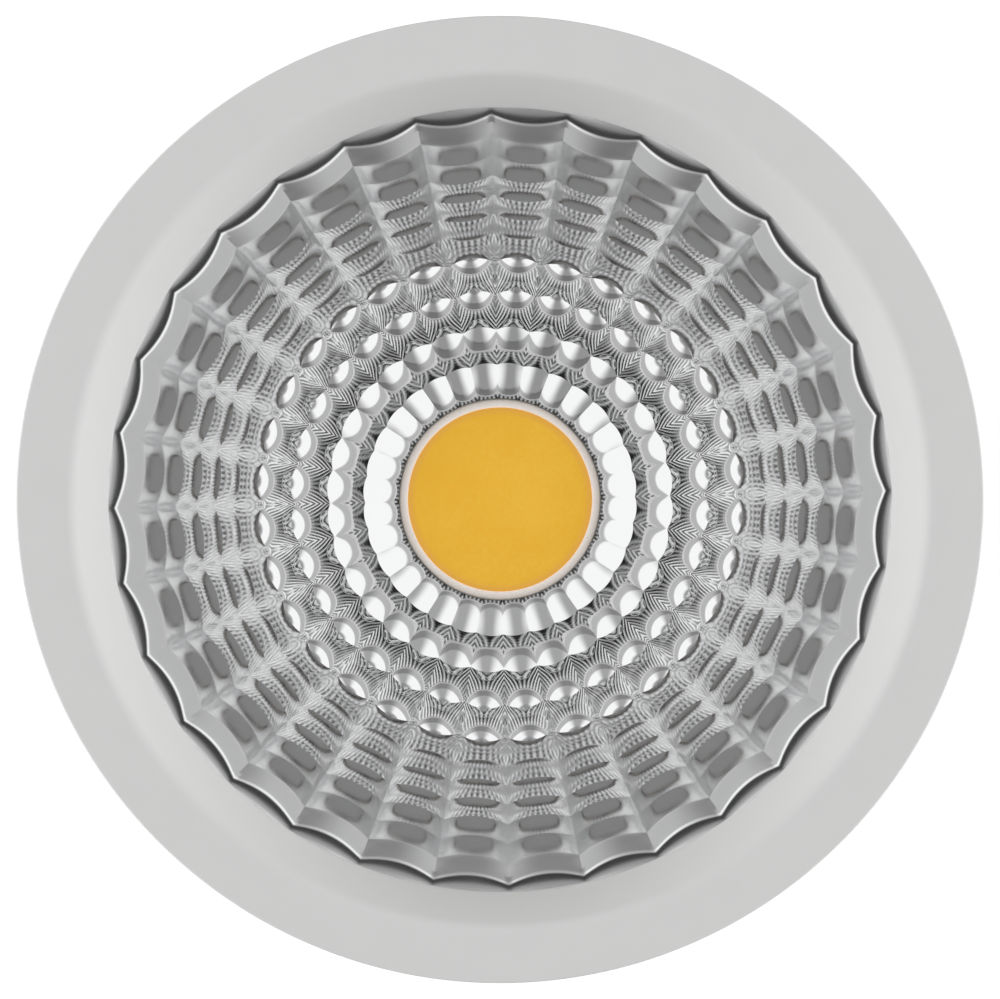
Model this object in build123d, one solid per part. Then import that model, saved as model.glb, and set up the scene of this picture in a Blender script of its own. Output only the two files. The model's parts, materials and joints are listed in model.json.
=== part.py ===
"""LED spotlight module with a 50 mm front ring.

A die-cast finned body carries a chip-on-board LED on its floor. A faceted mirror bowl stands on the LED's
holder and is clamped at its rim by the white front ring. The driver sits in the tube behind the floor.
Millimetres, +Z out of the front, origin in the middle of the rear face.
"""

import os
from math import atan2, cos, radians, sin, sqrt, tan

from build123d import *

# Mirror bowl
SECTORS = 32
CUSP_ANGLE = 1.3  # turn of the first valley between two sectors, degrees from +X
THROAT_R = 5.3
FACET_W = 1.91  # radial width of one ring of facets
COLLAR_W = 0.91  # radial width of the last, narrower ring
FLOOR_SLOPES = (26.0, 30.5, 37.5, 37.0)  # mean slopes of the pillow rings, degrees
WALL_SLOPES = (51.0, 54.5, 58.0)  # mean slopes of the tall rings, degrees
COLLAR_SLOPE = 57.0
PILLOW_RISE = 0.12  # height of a pillow's middle over the straight facet
PILLOW_SCALLOP = 0.022  # inward bulge of a pillow, share of its radius
RIM_SCALLOP = 0.345  # inward bulge of the sectors at the rim, beyond the straight chord
BOWL_WALL = 1.0
RIM_FLANGE_T = 1.0
RIM_FLANGE_W = 1.92

# Front ring
RING_BAND = 0.72  # strip of the mirror flange that shows inside the bore
RING_BEVEL_W = 1.85
RING_FACE_W = 2.85
RING_H = 3.5
RING_LAND = 0.5  # straight part of the bore below the bevel
RING_EDGE = 0.25

# LED, holder and thermal pad
LED_SIDE = 13.5
LED_T = 1.0
LED_LIGHT_R = 4.85  # radius of the light-emitting surface
DAM_W = 0.4
DAM_H = 0.7
PHOSPHOR_DIP = 0.12  # how far the phosphor lies below the top of the dam
PAD_R = 0.9
PAD_T = 0.1
THERMAL_T = 0.3
HOLDER_T = 1.4
HOLDER_MARGIN = 0.85  # material round the corners of the LED
HOLDER_SEAT_R = 8.0
EAR_R = 3.0
CONTACT_W = 1.8
CONTACT_T = 0.3
LEAD_R = 0.5
LEAD_BEND = 1.5
LEAD_LAP = 1.3  # length of the lead's end on the contact
LEAD_ANGLES = (45, 225)  # both leads lie on one diagonal of the LED

# Heat sink
FLOOR_T = 3.8
CUP_WALL = 1.2
TUBE_WALL = 1.6
FLANGE_T = 1.8
FLANGE_INSET = 0.3  # step from the outside of the front ring to the flange
FIN_COUNT = 24
FIN_T = 1.2
FIN_INSET = 0.3
FIN_FOOT_GAP = 1.5  # fins end this far in front of the rear cover
FIN_FOOT_W = 3.3  # reach of the fins beyond the tube at the rear
FIN_BOW = 1.1  # outward bow of the fins' edge

# Driver compartment
PARTS_GAP = 1.0  # air over the tallest part on the board
TERMINAL_GAP = 1.0  # air between the terminal block and the inlet grommet
COVER_T = 2.5
COVER_EDGE = 0.4
COVER_EAR_MARGIN = 0.4
SLEEVE_WALL = 0.8
RIB_W = 1.6
RIB_DEPTH = 1.15
RIB_COUNT = 4
BOARD_T = 1.2
POST_R = 1.1
POST_ANGLE = 45
BUSH_R = 1.4
BUSH_HEAD_R = 1.9
BUSH_HEAD_T = 0.5

# Parts on the driver board: sizes, then places from the axis
CORE_W = 9.6
CORE_D = 5.0
CORE_H = 8.0
CORE_LEG = 1.4
CORE_MIDDLE = 3.0
CORE_YOKE = 1.4
CORE_X = -4.8
CORE_Y = 2.8
WINDING_D = 8.4
INPUT_CAN_R = 3.1
INPUT_CAN_H = 9.0
INPUT_CAN_X = 6.0
INPUT_CAN_Y = 4.4
OUTPUT_CAN_R = 2.5
OUTPUT_CAN_H = 8.0
OUTPUT_CAN_X = 6.4
OUTPUT_CAN_Y = -3.2
CAN_EDGE = 0.25
CHOKE_R = 2.2
CHOKE_H = 6.0
CHOKE_LIP = 1.0
CHOKE_WAIST = 0.35  # depth of the wound waist
CHOKE_X = 0.8
CHOKE_Y = 8.6
BRIDGE_W = 4.8
BRIDGE_D = 4.0
BRIDGE_H = 2.4
BRIDGE_X = 1.0
BRIDGE_Y = -9.0
CHIP_W = 5.0
CHIP_D = 4.0
CHIP_H = 1.6
CHIP_X = -5.4
CHIP_Y = -4.6
FUSE_R = 1.2
FUSE_H = 7.0
FUSE_X = 1.2
FUSE_Y = -4.0
TERMINAL_W = 10.0
TERMINAL_D = 7.0
TERMINAL_H = 6.0
TERMINAL_Y = -6.7
TERMINAL_PITCH = 5.0
TERMINAL_SCREW_R = 1.3
TERMINAL_SCREW_H = 2.6
TERMINAL_ENTRY_R = 1.2
TERMINAL_ENTRY_DEPTH = 5.0

# Supply inlet
INLET_R = 2.6
GROMMET_NECK_R = 4.0
GROMMET_HEAD_R = 5.6
GROMMET_HEAD_T = 1.0

# Screws and their bosses
SMALL_SHANK_R = 0.8
SMALL_HEAD_R = 1.35
SMALL_HEAD_H = 1.2
SMALL_HEAD_EDGE = 0.3
DRIVE_L = 1.6  # length of the cross slots in the heads
RING_GRIP = 2.2  # thread in the front ring
HOLDER_GRIP = 3.0  # thread in the heat sink's floor
COVER_GRIP = 5.0  # thread in the bosses
BOSS_R = 2.1
BOSS_H = 8.0
BOSS_GAP = 0.6  # from the inside of the tube to the boss
COVER_SCREW_ANGLE = 60
DRIVE_W = 0.5  # width of the slots
DRIVE_DEPTH = 0.5
COVER_SCREWS = 3
RING_SCREWS = 3

# Clearances
FIT = 0.15  # between parts that slip into each other
THREAD_FIT = 0.05
FOOT_GAP = 0.1  # from the top of the dam to the foot of the bowl

# Radii and heights worked out from the sizes above
slopes = FLOOR_SLOPES + WALL_SLOPES + (COLLAR_SLOPE,)
widths = [FACET_W] * (len(slopes) - 1) + [COLLAR_W]
ring_r = [THROAT_R]
ring_z = [0.0]
for slope, width in zip(slopes, widths):
    ring_r.append(ring_r[-1] + width)
    ring_z.append(ring_z[-1] + width * tan(radians(slope)))
rim_r = ring_r[-1]
bowl_depth = ring_z[-1]

bore_r = rim_r + RING_BAND
bevel_r = bore_r + RING_BEVEL_W
outside_r = bevel_r + RING_FACE_W
rim_flange_r = rim_r + RIM_FLANGE_W
cup_r = rim_r + BOWL_WALL * sin(radians(COLLAR_SLOPE)) + FIT
flange_r = outside_r - FLANGE_INSET

holder_r = LED_SIDE / sqrt(2) + HOLDER_MARGIN
ear_x = holder_r + SMALL_SHANK_R + 4 * FIT
bush_r = holder_r + BUSH_HEAD_R + 2 * FIT
sleeve_in_r = bush_r + BUSH_R + FIT
sleeve_r = sleeve_in_r + SLEEVE_WALL
tube_in_r = sleeve_r + FIT
tube_r = tube_in_r + TUBE_WALL
board_r = sleeve_in_r - 3 * FIT
boss_pos_r = tube_in_r + BOSS_R + BOSS_GAP
ring_screw_r = cup_r + CUP_WALL + SMALL_HEAD_R + 2 * THREAD_FIT

board_z = COVER_T + GROMMET_HEAD_T + TERMINAL_GAP + TERMINAL_H
board_top_z = board_z + BOARD_T
tallest = max(CORE_H, INPUT_CAN_H, OUTPUT_CAN_H, CHOKE_H, BRIDGE_H, CHIP_H, FUSE_H)
floor_under_z = board_top_z + tallest + PARTS_GAP + SLEEVE_WALL
floor_z = floor_under_z + FLOOR_T
led_z = floor_z + THERMAL_T
led_top_z = led_z + LED_T
dam_z = led_top_z + DAM_H
bowl_z = dam_z + FOOT_GAP
rim_z = bowl_z + bowl_depth
flange_z = rim_z - RIM_FLANGE_T
front_z = flange_z + RING_H
contact_z = led_top_z + PAD_T
pad_r = LED_SIDE / sqrt(2) - 2 * PAD_R
dam_r = LED_LIGHT_R + DAM_W

BOTTOM = (Align.CENTER, Align.CENTER, Align.MIN)


def at(radius, degrees_round):
    """Point at a radius and an angle round the axis."""
    angle = radians(degrees_round)
    return radius * cos(angle), radius * sin(angle)


def disc(radius, z0, z1, x=0.0, y=0.0):
    """Solid cylinder along Z between two heights."""
    return Pos(x, y, z0) * Cylinder(radius, z1 - z0, align=BOTTOM)


def block(width, depth, z0, z1, x=0.0, y=0.0):
    """Solid box between two heights."""
    return Pos(x, y, z0) * Box(width, depth, z1 - z0, align=BOTTOM)


def turned(*points):
    """Solid turned round Z from a closed outline of radius and height points."""
    outline = Plane.XZ * make_face(Polyline(*points, close=True))
    return revolve(outline, Axis.Z)


def round_places(count, radius, start=0.0):
    """Evenly spaced points on a circle."""
    return [at(radius, start + 360 * i / count) for i in range(count)]


def screw(x, y, seat_z, grip, up):
    """Pan-head screw: its head lies on seat_z and its shank runs up or down from there."""
    shank = Cylinder(SMALL_SHANK_R, grip, align=BOTTOM)
    head = Rot(180, 0, 0) * Cylinder(SMALL_HEAD_R, SMALL_HEAD_H, align=BOTTOM)
    head = chamfer(head.edges().group_by(Axis.Z)[0], SMALL_HEAD_EDGE)
    slot_z = -SMALL_HEAD_H
    slot = block(DRIVE_L, DRIVE_W, slot_z, slot_z + DRIVE_DEPTH)
    slot += block(DRIVE_W, DRIVE_L, slot_z, slot_z + DRIVE_DEPTH)
    turn = Rot(0, 0, 0) if up else Rot(180, 0, 0)
    return Pos(x, y, seat_z) * turn * (head + shank - slot)


def bowl_section(radius, z, bulge):
    """Closed wire round the bowl: one arc a sector, its cusps outward at the radius."""
    step = 360 / SECTORS
    middle_r = radius * cos(radians(step / 2)) - bulge
    edges = []
    for i in range(SECTORS):
        angle = CUSP_ANGLE + i * step
        start = Vector(*at(radius, angle), z)
        end = Vector(*at(radius, angle + step), z)
        middle = Vector(*at(middle_r, angle + step / 2), z)
        straight = bulge < 1e-6
        edge = Edge.make_line(start, end) if straight else Edge.make_three_point_arc(start, middle, end)
        edges.append(edge)
    return Wire(edges)


def bowl_space():
    """Space inside the mirror bowl: pillow rings on the floor, tall scalloped rings on the wall."""
    sections = [bowl_section(ring_r[0], bowl_z, 0)]
    floor_count = len(FLOOR_SLOPES)
    for i, slope in enumerate(FLOOR_SLOPES):
        lean = radians(slope)
        middle_r = (ring_r[i] + ring_r[i + 1]) / 2 - PILLOW_RISE * sin(lean)
        middle_z = (ring_z[i] + ring_z[i + 1]) / 2 + PILLOW_RISE * cos(lean)
        sections.append(bowl_section(middle_r, bowl_z + middle_z, PILLOW_SCALLOP * middle_r))
        sections.append(bowl_section(ring_r[i + 1], bowl_z + ring_z[i + 1], 0))
    wall_start = ring_r[floor_count]
    for radius, z in zip(ring_r[floor_count + 1:], ring_z[floor_count + 1:]):
        share = (radius - wall_start) / (rim_r - wall_start)
        sections.append(bowl_section(radius, bowl_z + z, RIM_SCALLOP * share))
    return Solid.make_loft(sections, ruled=True)


def reflector():
    """Moulded bowl: plain outside wall, flat foot round the throat and a flange at the rim."""
    outline = [(0, rim_z), (rim_flange_r, rim_z), (rim_flange_r, flange_z)]
    wall = []
    for i in range(1, len(ring_r)):
        lean = radians(slopes[i - 1])
        r = ring_r[i] + BOWL_WALL * sin(lean)
        z = bowl_z + max(ring_z[i] - BOWL_WALL * cos(lean), 0)
        wall.append((r, z))
    collar_r, collar_z = wall.pop()
    outline.append((collar_r, flange_z))
    outline.extend(reversed(wall[:-1]))
    if outline[-1][1] > bowl_z:
        outline.append((outline[-1][0], bowl_z))
    outline.append((0, bowl_z))
    return turned(*outline) - bowl_space()


def front_ring():
    """Turned ring: flat face, bevel round the bore, seat for the bowl's flange and blind screw holes."""
    seat_r = rim_flange_r + FIT
    land_z = rim_z + RING_LAND
    ring = turned(
        (seat_r, flange_z), (outside_r, flange_z), (outside_r, front_z), (bevel_r, front_z),
        (bore_r, land_z), (bore_r, rim_z), (seat_r, rim_z),
    )
    face_edges = ring.edges().filter_by(GeomType.CIRCLE).group_by(Axis.Z)[-1]
    ring = chamfer(face_edges, RING_EDGE)
    for x, y in ring_places:
        ring -= disc(SMALL_SHANK_R + THREAD_FIT, flange_z, flange_z + RING_GRIP + FIT, x, y)
    return ring


def fin():
    """One radial fin: along the tube, under the floor and up the cup, with a bowed outer edge."""
    foot_z = COVER_T + FIN_FOOT_GAP
    head_z = flange_z - FLANGE_T / 2
    tube_mid = tube_r - TUBE_WALL / 2
    cup_mid = cup_r + CUP_WALL / 2
    floor_mid = floor_z - FLOOR_T / 2
    foot = (tube_r + FIN_FOOT_W, foot_z)
    head = (flange_r - FIN_INSET, head_z)
    lean = atan2(head[0] - foot[0], head[1] - foot[1])
    bow = ((foot[0] + head[0]) / 2 + FIN_BOW * cos(lean), (foot[1] + head[1]) / 2 - FIN_BOW * sin(lean))
    edge = ThreePointArc(foot, bow, head)
    back = Polyline(
        head, (cup_mid, head_z), (cup_mid, floor_mid), (tube_mid, floor_mid), (tube_mid, foot_z), foot,
    )
    return extrude(Plane.XZ * make_face(edge + back), FIN_T / 2, both=True)


def heat_sink():
    """Die-cast body: cup for the bowl, floor for the LED, tube for the driver, fins and a front flange."""
    outer_r = cup_r + CUP_WALL
    under_flange_z = flange_z - FLANGE_T
    body = turned(
        (0, floor_under_z), (tube_in_r, floor_under_z), (tube_in_r, COVER_T),
        (tube_r, COVER_T), (tube_r, floor_under_z), (outer_r, floor_under_z),
        (outer_r, under_flange_z), (flange_r, under_flange_z), (flange_r, flange_z),
        (cup_r, flange_z), (cup_r, floor_z), (0, floor_z),
    )
    half_gap = 180 / FIN_COUNT
    body += [Rot(0, 0, half_gap + 360 * i / FIN_COUNT) * fin() for i in range(FIN_COUNT)]
    body += [disc(BOSS_R, COVER_T, COVER_T + BOSS_H, x, y) for x, y in cover_places]
    body -= disc(tube_in_r, COVER_T, floor_under_z)
    thread_r = SMALL_SHANK_R + THREAD_FIT
    body -= [disc(thread_r, COVER_T, COVER_T + COVER_GRIP + FIT, x, y) for x, y in cover_places]
    body -= [disc(thread_r, floor_z - HOLDER_GRIP - FIT, floor_z, x) for x in (-ear_x, ear_x)]
    body -= [disc(BUSH_R, floor_under_z, floor_z, x, y) for x, y in lead_places]
    hole_r = SMALL_SHANK_R + FIT
    for x, y in ring_places:
        body -= disc(hole_r, under_flange_z, flange_z, x, y)
        body -= disc(SMALL_HEAD_R + THREAD_FIT, COVER_T, under_flange_z, x, y)
    return body


def led_holder():
    """Moulded frame: presses on the border of the LED, carries the contacts and the foot of the bowl."""
    top_z = floor_z + HOLDER_T
    seat_z = bowl_z
    frame = disc(holder_r, floor_z, top_z) + disc(HOLDER_SEAT_R, floor_z, seat_z)
    ears = extrude(SlotCenterToCenter(2 * ear_x, 2 * EAR_R), HOLDER_T)
    frame += Pos(0, 0, floor_z) * ears
    frame -= block(LED_SIDE + 2 * FIT, LED_SIDE + 2 * FIT, floor_z, led_top_z)
    frame -= disc(dam_r + 2 * FIT, floor_z, seat_z)
    frame -= [disc(SMALL_SHANK_R + FIT, floor_z, top_z, x) for x in (-ear_x, ear_x)]
    slot_length = holder_r - dam_r
    slot_mid = holder_r - slot_length / 2
    for angle in LEAD_ANGLES:
        slot = block(slot_length, CONTACT_W + 2 * FIT, led_top_z, seat_z, slot_mid)
        frame -= Rot(0, 0, angle) * slot
    return frame


def contact(angle):
    """Bent strip from a solder pad to the tinned end of a lead."""
    start = pad_r - PAD_R
    end = holder_r - 2 * FIT
    strip = block(end - start, CONTACT_W, contact_z, contact_z + CONTACT_T, (start + end) / 2)
    return Rot(0, 0, angle) * strip


def lead(angle):
    """Insulated wire: along the contact, over the bush and straight down to the board."""
    axis_z = contact_z + CONTACT_T + LEAD_R
    inner = holder_r - LEAD_LAP
    path = Polyline((inner, 0, axis_z), (bush_r - LEAD_BEND, 0, axis_z))
    path += TangentArc((bush_r - LEAD_BEND, 0, axis_z), (bush_r, 0, axis_z - LEAD_BEND), tangent=(1, 0, 0))
    path += Line((bush_r, 0, axis_z - LEAD_BEND), (bush_r, 0, board_top_z))
    tube = sweep(Plane((inner, 0, axis_z), z_dir=(1, 0, 0)) * Circle(LEAD_R), path=path)
    return Rot(0, 0, angle) * tube


def bush(x, y):
    """Insulating bush through the floor, with a head on top of it."""
    body = disc(BUSH_R, floor_under_z - SLEEVE_WALL, floor_z, x, y)
    body += disc(BUSH_HEAD_R, floor_z, floor_z + BUSH_HEAD_T, x, y)
    return body - disc(LEAD_R + FIT, floor_under_z - SLEEVE_WALL, floor_z + BUSH_HEAD_T, x, y)


def insulating_sleeve():
    """Plastic cup between the driver and the metal, with ribs that stop the board."""
    end_z = floor_under_z - SLEEVE_WALL
    sleeve = disc(sleeve_r, COVER_T, floor_under_z) - disc(sleeve_in_r, COVER_T, end_z)
    rib_mid = sleeve_in_r - RIB_DEPTH / 2 + SLEEVE_WALL / 4
    for i in range(RIB_COUNT):
        rib = block(RIB_DEPTH + SLEEVE_WALL / 2, RIB_W, board_top_z, end_z, rib_mid)
        sleeve += Rot(0, 0, 360 * i / RIB_COUNT) * rib
    return sleeve - [disc(BUSH_R, end_z, floor_under_z, x, y) for x, y in lead_places]


def lid_disc(radius, x=0.0, y=0.0):
    """Disc of the cover's thickness with its rear edge broken."""
    body = disc(radius, 0, COVER_T, x, y)
    return chamfer(body.edges().group_by(Axis.Z)[0], COVER_EDGE)


def rear_cover():
    """Plastic lid with three screw ears, posts for the board and a seat for the inlet grommet."""
    lid = lid_disc(tube_r) + [lid_disc(BOSS_R + COVER_EAR_MARGIN, x, y) for x, y in cover_places]
    post_r = sleeve_in_r - POST_R - 3 * FIT
    lid += [disc(POST_R, COVER_T, board_z, x, y) for x, y in round_places(RIB_COUNT, post_r, POST_ANGLE)]
    lid -= disc(GROMMET_NECK_R, 0, COVER_T)
    lid -= disc(GROMMET_HEAD_R + FIT, 0, GROMMET_HEAD_T + FIT)
    for x, y in cover_places:
        lid -= disc(SMALL_SHANK_R + FIT, 0, COVER_T, x, y)
        lid -= disc(SMALL_HEAD_R + FIT, 0, SMALL_HEAD_H + FIT, x, y)
    return lid


def cord_grommet():
    """Rubber grommet of the supply inlet, sunk into the rear cover."""
    head_top = GROMMET_HEAD_T + FIT
    inner_top = COVER_T + GROMMET_HEAD_T
    return turned(
        (INLET_R, FIT), (GROMMET_HEAD_R, FIT), (GROMMET_HEAD_R, head_top), (GROMMET_NECK_R, head_top),
        (GROMMET_NECK_R, COVER_T), (GROMMET_HEAD_R, COVER_T), (GROMMET_HEAD_R, inner_top), (INLET_R, inner_top),
    )


def transformer_core():
    """Ferrite E core: yokes, two outer legs and a middle leg."""
    top_z = board_top_z + CORE_H
    core = block(CORE_W, CORE_D, board_top_z, top_z, CORE_X, CORE_Y)
    window_w = (CORE_W - CORE_MIDDLE) / 2 - CORE_LEG
    offset = (CORE_MIDDLE + window_w) / 2
    for side in (-1, 1):
        x = CORE_X + side * offset
        core -= block(window_w, CORE_D, board_top_z + CORE_YOKE, top_z - CORE_YOKE, x, CORE_Y)
    return core


def transformer_winding():
    """Taped winding round the middle leg of the core."""
    z0 = board_top_z + CORE_YOKE
    z1 = board_top_z + CORE_H - CORE_YOKE
    width = CORE_W - 2 * CORE_LEG
    coil = block(width, WINDING_D, z0, z1, CORE_X, CORE_Y)
    coil = fillet(coil.edges().filter_by(Axis.Z), CORE_LEG / 2)
    return coil - block(CORE_MIDDLE, CORE_D, z0, z1, CORE_X, CORE_Y)


def can(radius, height, x, y):
    """Round component standing on the board, with a broken top edge."""
    body = disc(radius, board_top_z, board_top_z + height, x, y)
    return chamfer(body.edges().group_by(Axis.Z)[-1], CAN_EDGE)


def filter_choke():
    """Drum-core choke: two flanges and a wound waist."""
    z0 = board_top_z
    z1 = z0 + CHOKE_H
    waist_r = CHOKE_R - CHOKE_WAIST
    drum = turned(
        (0, z0), (CHOKE_R, z0), (CHOKE_R, z0 + CHOKE_LIP), (waist_r, z0 + CHOKE_LIP),
        (waist_r, z1 - CHOKE_LIP), (CHOKE_R, z1 - CHOKE_LIP), (CHOKE_R, z1), (0, z1),
    )
    return Pos(CHOKE_X, CHOKE_Y, 0) * drum


def terminal_block():
    """Two-pole screw terminal under the board: screws from the rear, cores enter from the middle."""
    z0 = board_z - TERMINAL_H
    body = block(TERMINAL_W, TERMINAL_D, z0, board_z, 0, TERMINAL_Y)
    entry_y = TERMINAL_Y + TERMINAL_D / 2
    for side in (-1, 1):
        x = side * TERMINAL_PITCH / 2
        body -= disc(TERMINAL_SCREW_R + FIT, z0, z0 + TERMINAL_SCREW_H + FIT, x, TERMINAL_Y)
        entry = Cylinder(TERMINAL_ENTRY_R, TERMINAL_ENTRY_DEPTH, align=BOTTOM)
        entry_z = board_z - TERMINAL_ENTRY_R - SLEEVE_WALL
        body -= Pos(x, entry_y, entry_z) * Rot(90, 0, 0) * entry
    return body


def terminal_screw(x):
    """Slotted clamp screw of the terminal."""
    z0 = board_z - TERMINAL_H + FIT
    body = disc(TERMINAL_SCREW_R, z0, z0 + TERMINAL_SCREW_H, x, TERMINAL_Y)
    return body - block(TERMINAL_SCREW_R * 3, DRIVE_W, z0, z0 + DRIVE_DEPTH, x, TERMINAL_Y)


def group(solids):
    """Several like pieces that share one node."""
    return Compound([piece for solid in solids for piece in solid.solids()])


lead_places = [at(bush_r, angle) for angle in LEAD_ANGLES]
cover_places = round_places(COVER_SCREWS, boss_pos_r, COVER_SCREW_ANGLE)
ring_places = round_places(RING_SCREWS, ring_screw_r)
cover_seat_z = SMALL_HEAD_H + FIT
ring_seat_z = flange_z - FLANGE_T
terminal_x = TERMINAL_PITCH / 2

nodes = {
    "front_ring": front_ring(),
    "reflector": reflector(),
    "led_phosphor": disc(LED_LIGHT_R, led_top_z, dam_z - PHOSPHOR_DIP),
    "led_dam": disc(dam_r, led_top_z, dam_z) - disc(LED_LIGHT_R, led_top_z, dam_z),
    "led_substrate": block(LED_SIDE, LED_SIDE, led_z, led_top_z),
    "led_pads": group(disc(PAD_R, led_top_z, contact_z, *at(pad_r, angle)) for angle in LEAD_ANGLES),
    "led_holder": led_holder(),
    "holder_contacts": group(contact(angle) for angle in LEAD_ANGLES),
    "holder_screws": group(
        screw(x, 0, floor_z + HOLDER_T, HOLDER_T + HOLDER_GRIP, False) for x in (-ear_x, ear_x)
    ),
    "thermal_pad": block(LED_SIDE, LED_SIDE, floor_z, led_z),
    "heat_sink": heat_sink(),
    "ring_screws": group(
        screw(x, y, ring_seat_z, FLANGE_T + RING_GRIP, True)
        for x, y in ring_places
    ),
    "lead_positive": lead(LEAD_ANGLES[0]),
    "lead_negative": lead(LEAD_ANGLES[1]),
    "lead_bushes": group(bush(x, y) for x, y in lead_places),
    "insulating_sleeve": insulating_sleeve(),
    "driver_board": disc(board_r, board_z, board_top_z),
    "transformer_core": transformer_core(),
    "transformer_winding": transformer_winding(),
    "input_capacitor": can(INPUT_CAN_R, INPUT_CAN_H, INPUT_CAN_X, INPUT_CAN_Y),
    "output_capacitor": can(OUTPUT_CAN_R, OUTPUT_CAN_H, OUTPUT_CAN_X, OUTPUT_CAN_Y),
    "filter_choke": filter_choke(),
    "bridge_rectifier": block(
        BRIDGE_W, BRIDGE_D, board_top_z, board_top_z + BRIDGE_H, BRIDGE_X, BRIDGE_Y
    ),
    "driver_chip": block(CHIP_W, CHIP_D, board_top_z, board_top_z + CHIP_H, CHIP_X, CHIP_Y),
    "fuse_resistor": can(FUSE_R, FUSE_H, FUSE_X, FUSE_Y),
    "terminal_block": terminal_block(),
    "terminal_screws": group(terminal_screw(x) for x in (-terminal_x, terminal_x)),
    "rear_cover": rear_cover(),
    "rear_cover_screws": group(
        screw(x, y, cover_seat_z, COVER_T - cover_seat_z + COVER_GRIP, True)
        for x, y in cover_places
    ),
    "cord_grommet": cord_grommet(),
}

os.makedirs("parts", exist_ok=True)
for name, shape in nodes.items():
    export_step(shape, f"parts/{name}.step")
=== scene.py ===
"""Studio view of an LED spotlight module, dressed over its CAD frame.

Lengths are metres and +Z points out of the front. The camera looks straight down into the mirror bowl.
"""

import json

import bmesh
import bpy
import numpy as np
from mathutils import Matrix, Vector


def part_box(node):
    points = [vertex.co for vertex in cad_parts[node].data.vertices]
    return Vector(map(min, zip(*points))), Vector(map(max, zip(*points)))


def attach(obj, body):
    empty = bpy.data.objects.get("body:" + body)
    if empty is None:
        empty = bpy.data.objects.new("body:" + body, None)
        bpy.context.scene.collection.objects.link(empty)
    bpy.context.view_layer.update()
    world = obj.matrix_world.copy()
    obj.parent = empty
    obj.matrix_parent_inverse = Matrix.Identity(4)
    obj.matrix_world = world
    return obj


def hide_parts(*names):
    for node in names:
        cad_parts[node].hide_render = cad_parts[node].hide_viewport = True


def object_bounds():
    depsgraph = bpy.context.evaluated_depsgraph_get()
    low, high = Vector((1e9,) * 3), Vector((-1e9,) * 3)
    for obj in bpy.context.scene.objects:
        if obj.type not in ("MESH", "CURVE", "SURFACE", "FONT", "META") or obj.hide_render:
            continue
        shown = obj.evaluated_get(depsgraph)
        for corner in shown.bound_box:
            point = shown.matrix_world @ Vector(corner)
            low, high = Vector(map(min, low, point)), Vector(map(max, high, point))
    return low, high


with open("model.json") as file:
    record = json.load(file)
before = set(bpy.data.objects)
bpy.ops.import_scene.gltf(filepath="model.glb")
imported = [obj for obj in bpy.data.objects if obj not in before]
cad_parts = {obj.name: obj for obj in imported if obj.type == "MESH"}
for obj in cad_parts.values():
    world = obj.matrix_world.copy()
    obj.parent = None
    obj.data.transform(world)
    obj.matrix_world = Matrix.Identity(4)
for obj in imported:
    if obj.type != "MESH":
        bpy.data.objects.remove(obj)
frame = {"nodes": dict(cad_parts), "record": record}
cad_low, cad_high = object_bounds()

# Heat sink
# The module's body, die-cast from aluminium in one piece: cup, floor, driver tube and fins. It is shot
# blasted and left bare. The blasting leaves a fine pitted skin, and the metal's flow in the mould leaves
# faint darker streaks along the axis.
MM = 0.001
LUMP = 0.5  # size of a lump of noise at a scale of 1
STREAK_SIZE = 2.2 * MM
STREAK_SCALE = (1.0, 1.0, 0.22)  # draws the streaks out along the axis
STREAK_EDGE = (0.35, 0.7)
STREAK_SHARE = 0.6  # of the change of colour; the pits make the rest
STREAK_ROUGH = 0.1
PIT_SIZE = 0.16 * MM
PIT_EDGE = (0.35, 0.65)
PIT_DEPTH = 0.030 * MM
PIT_ROUGH = 0.22
CAST_SHADES = (0.66, 0.94)
CAST_ROUGH = 0.30
colours = {entry["slot"]: tuple(entry["base_color"][:3]) for entry in frame["record"]["materials"]}


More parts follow.
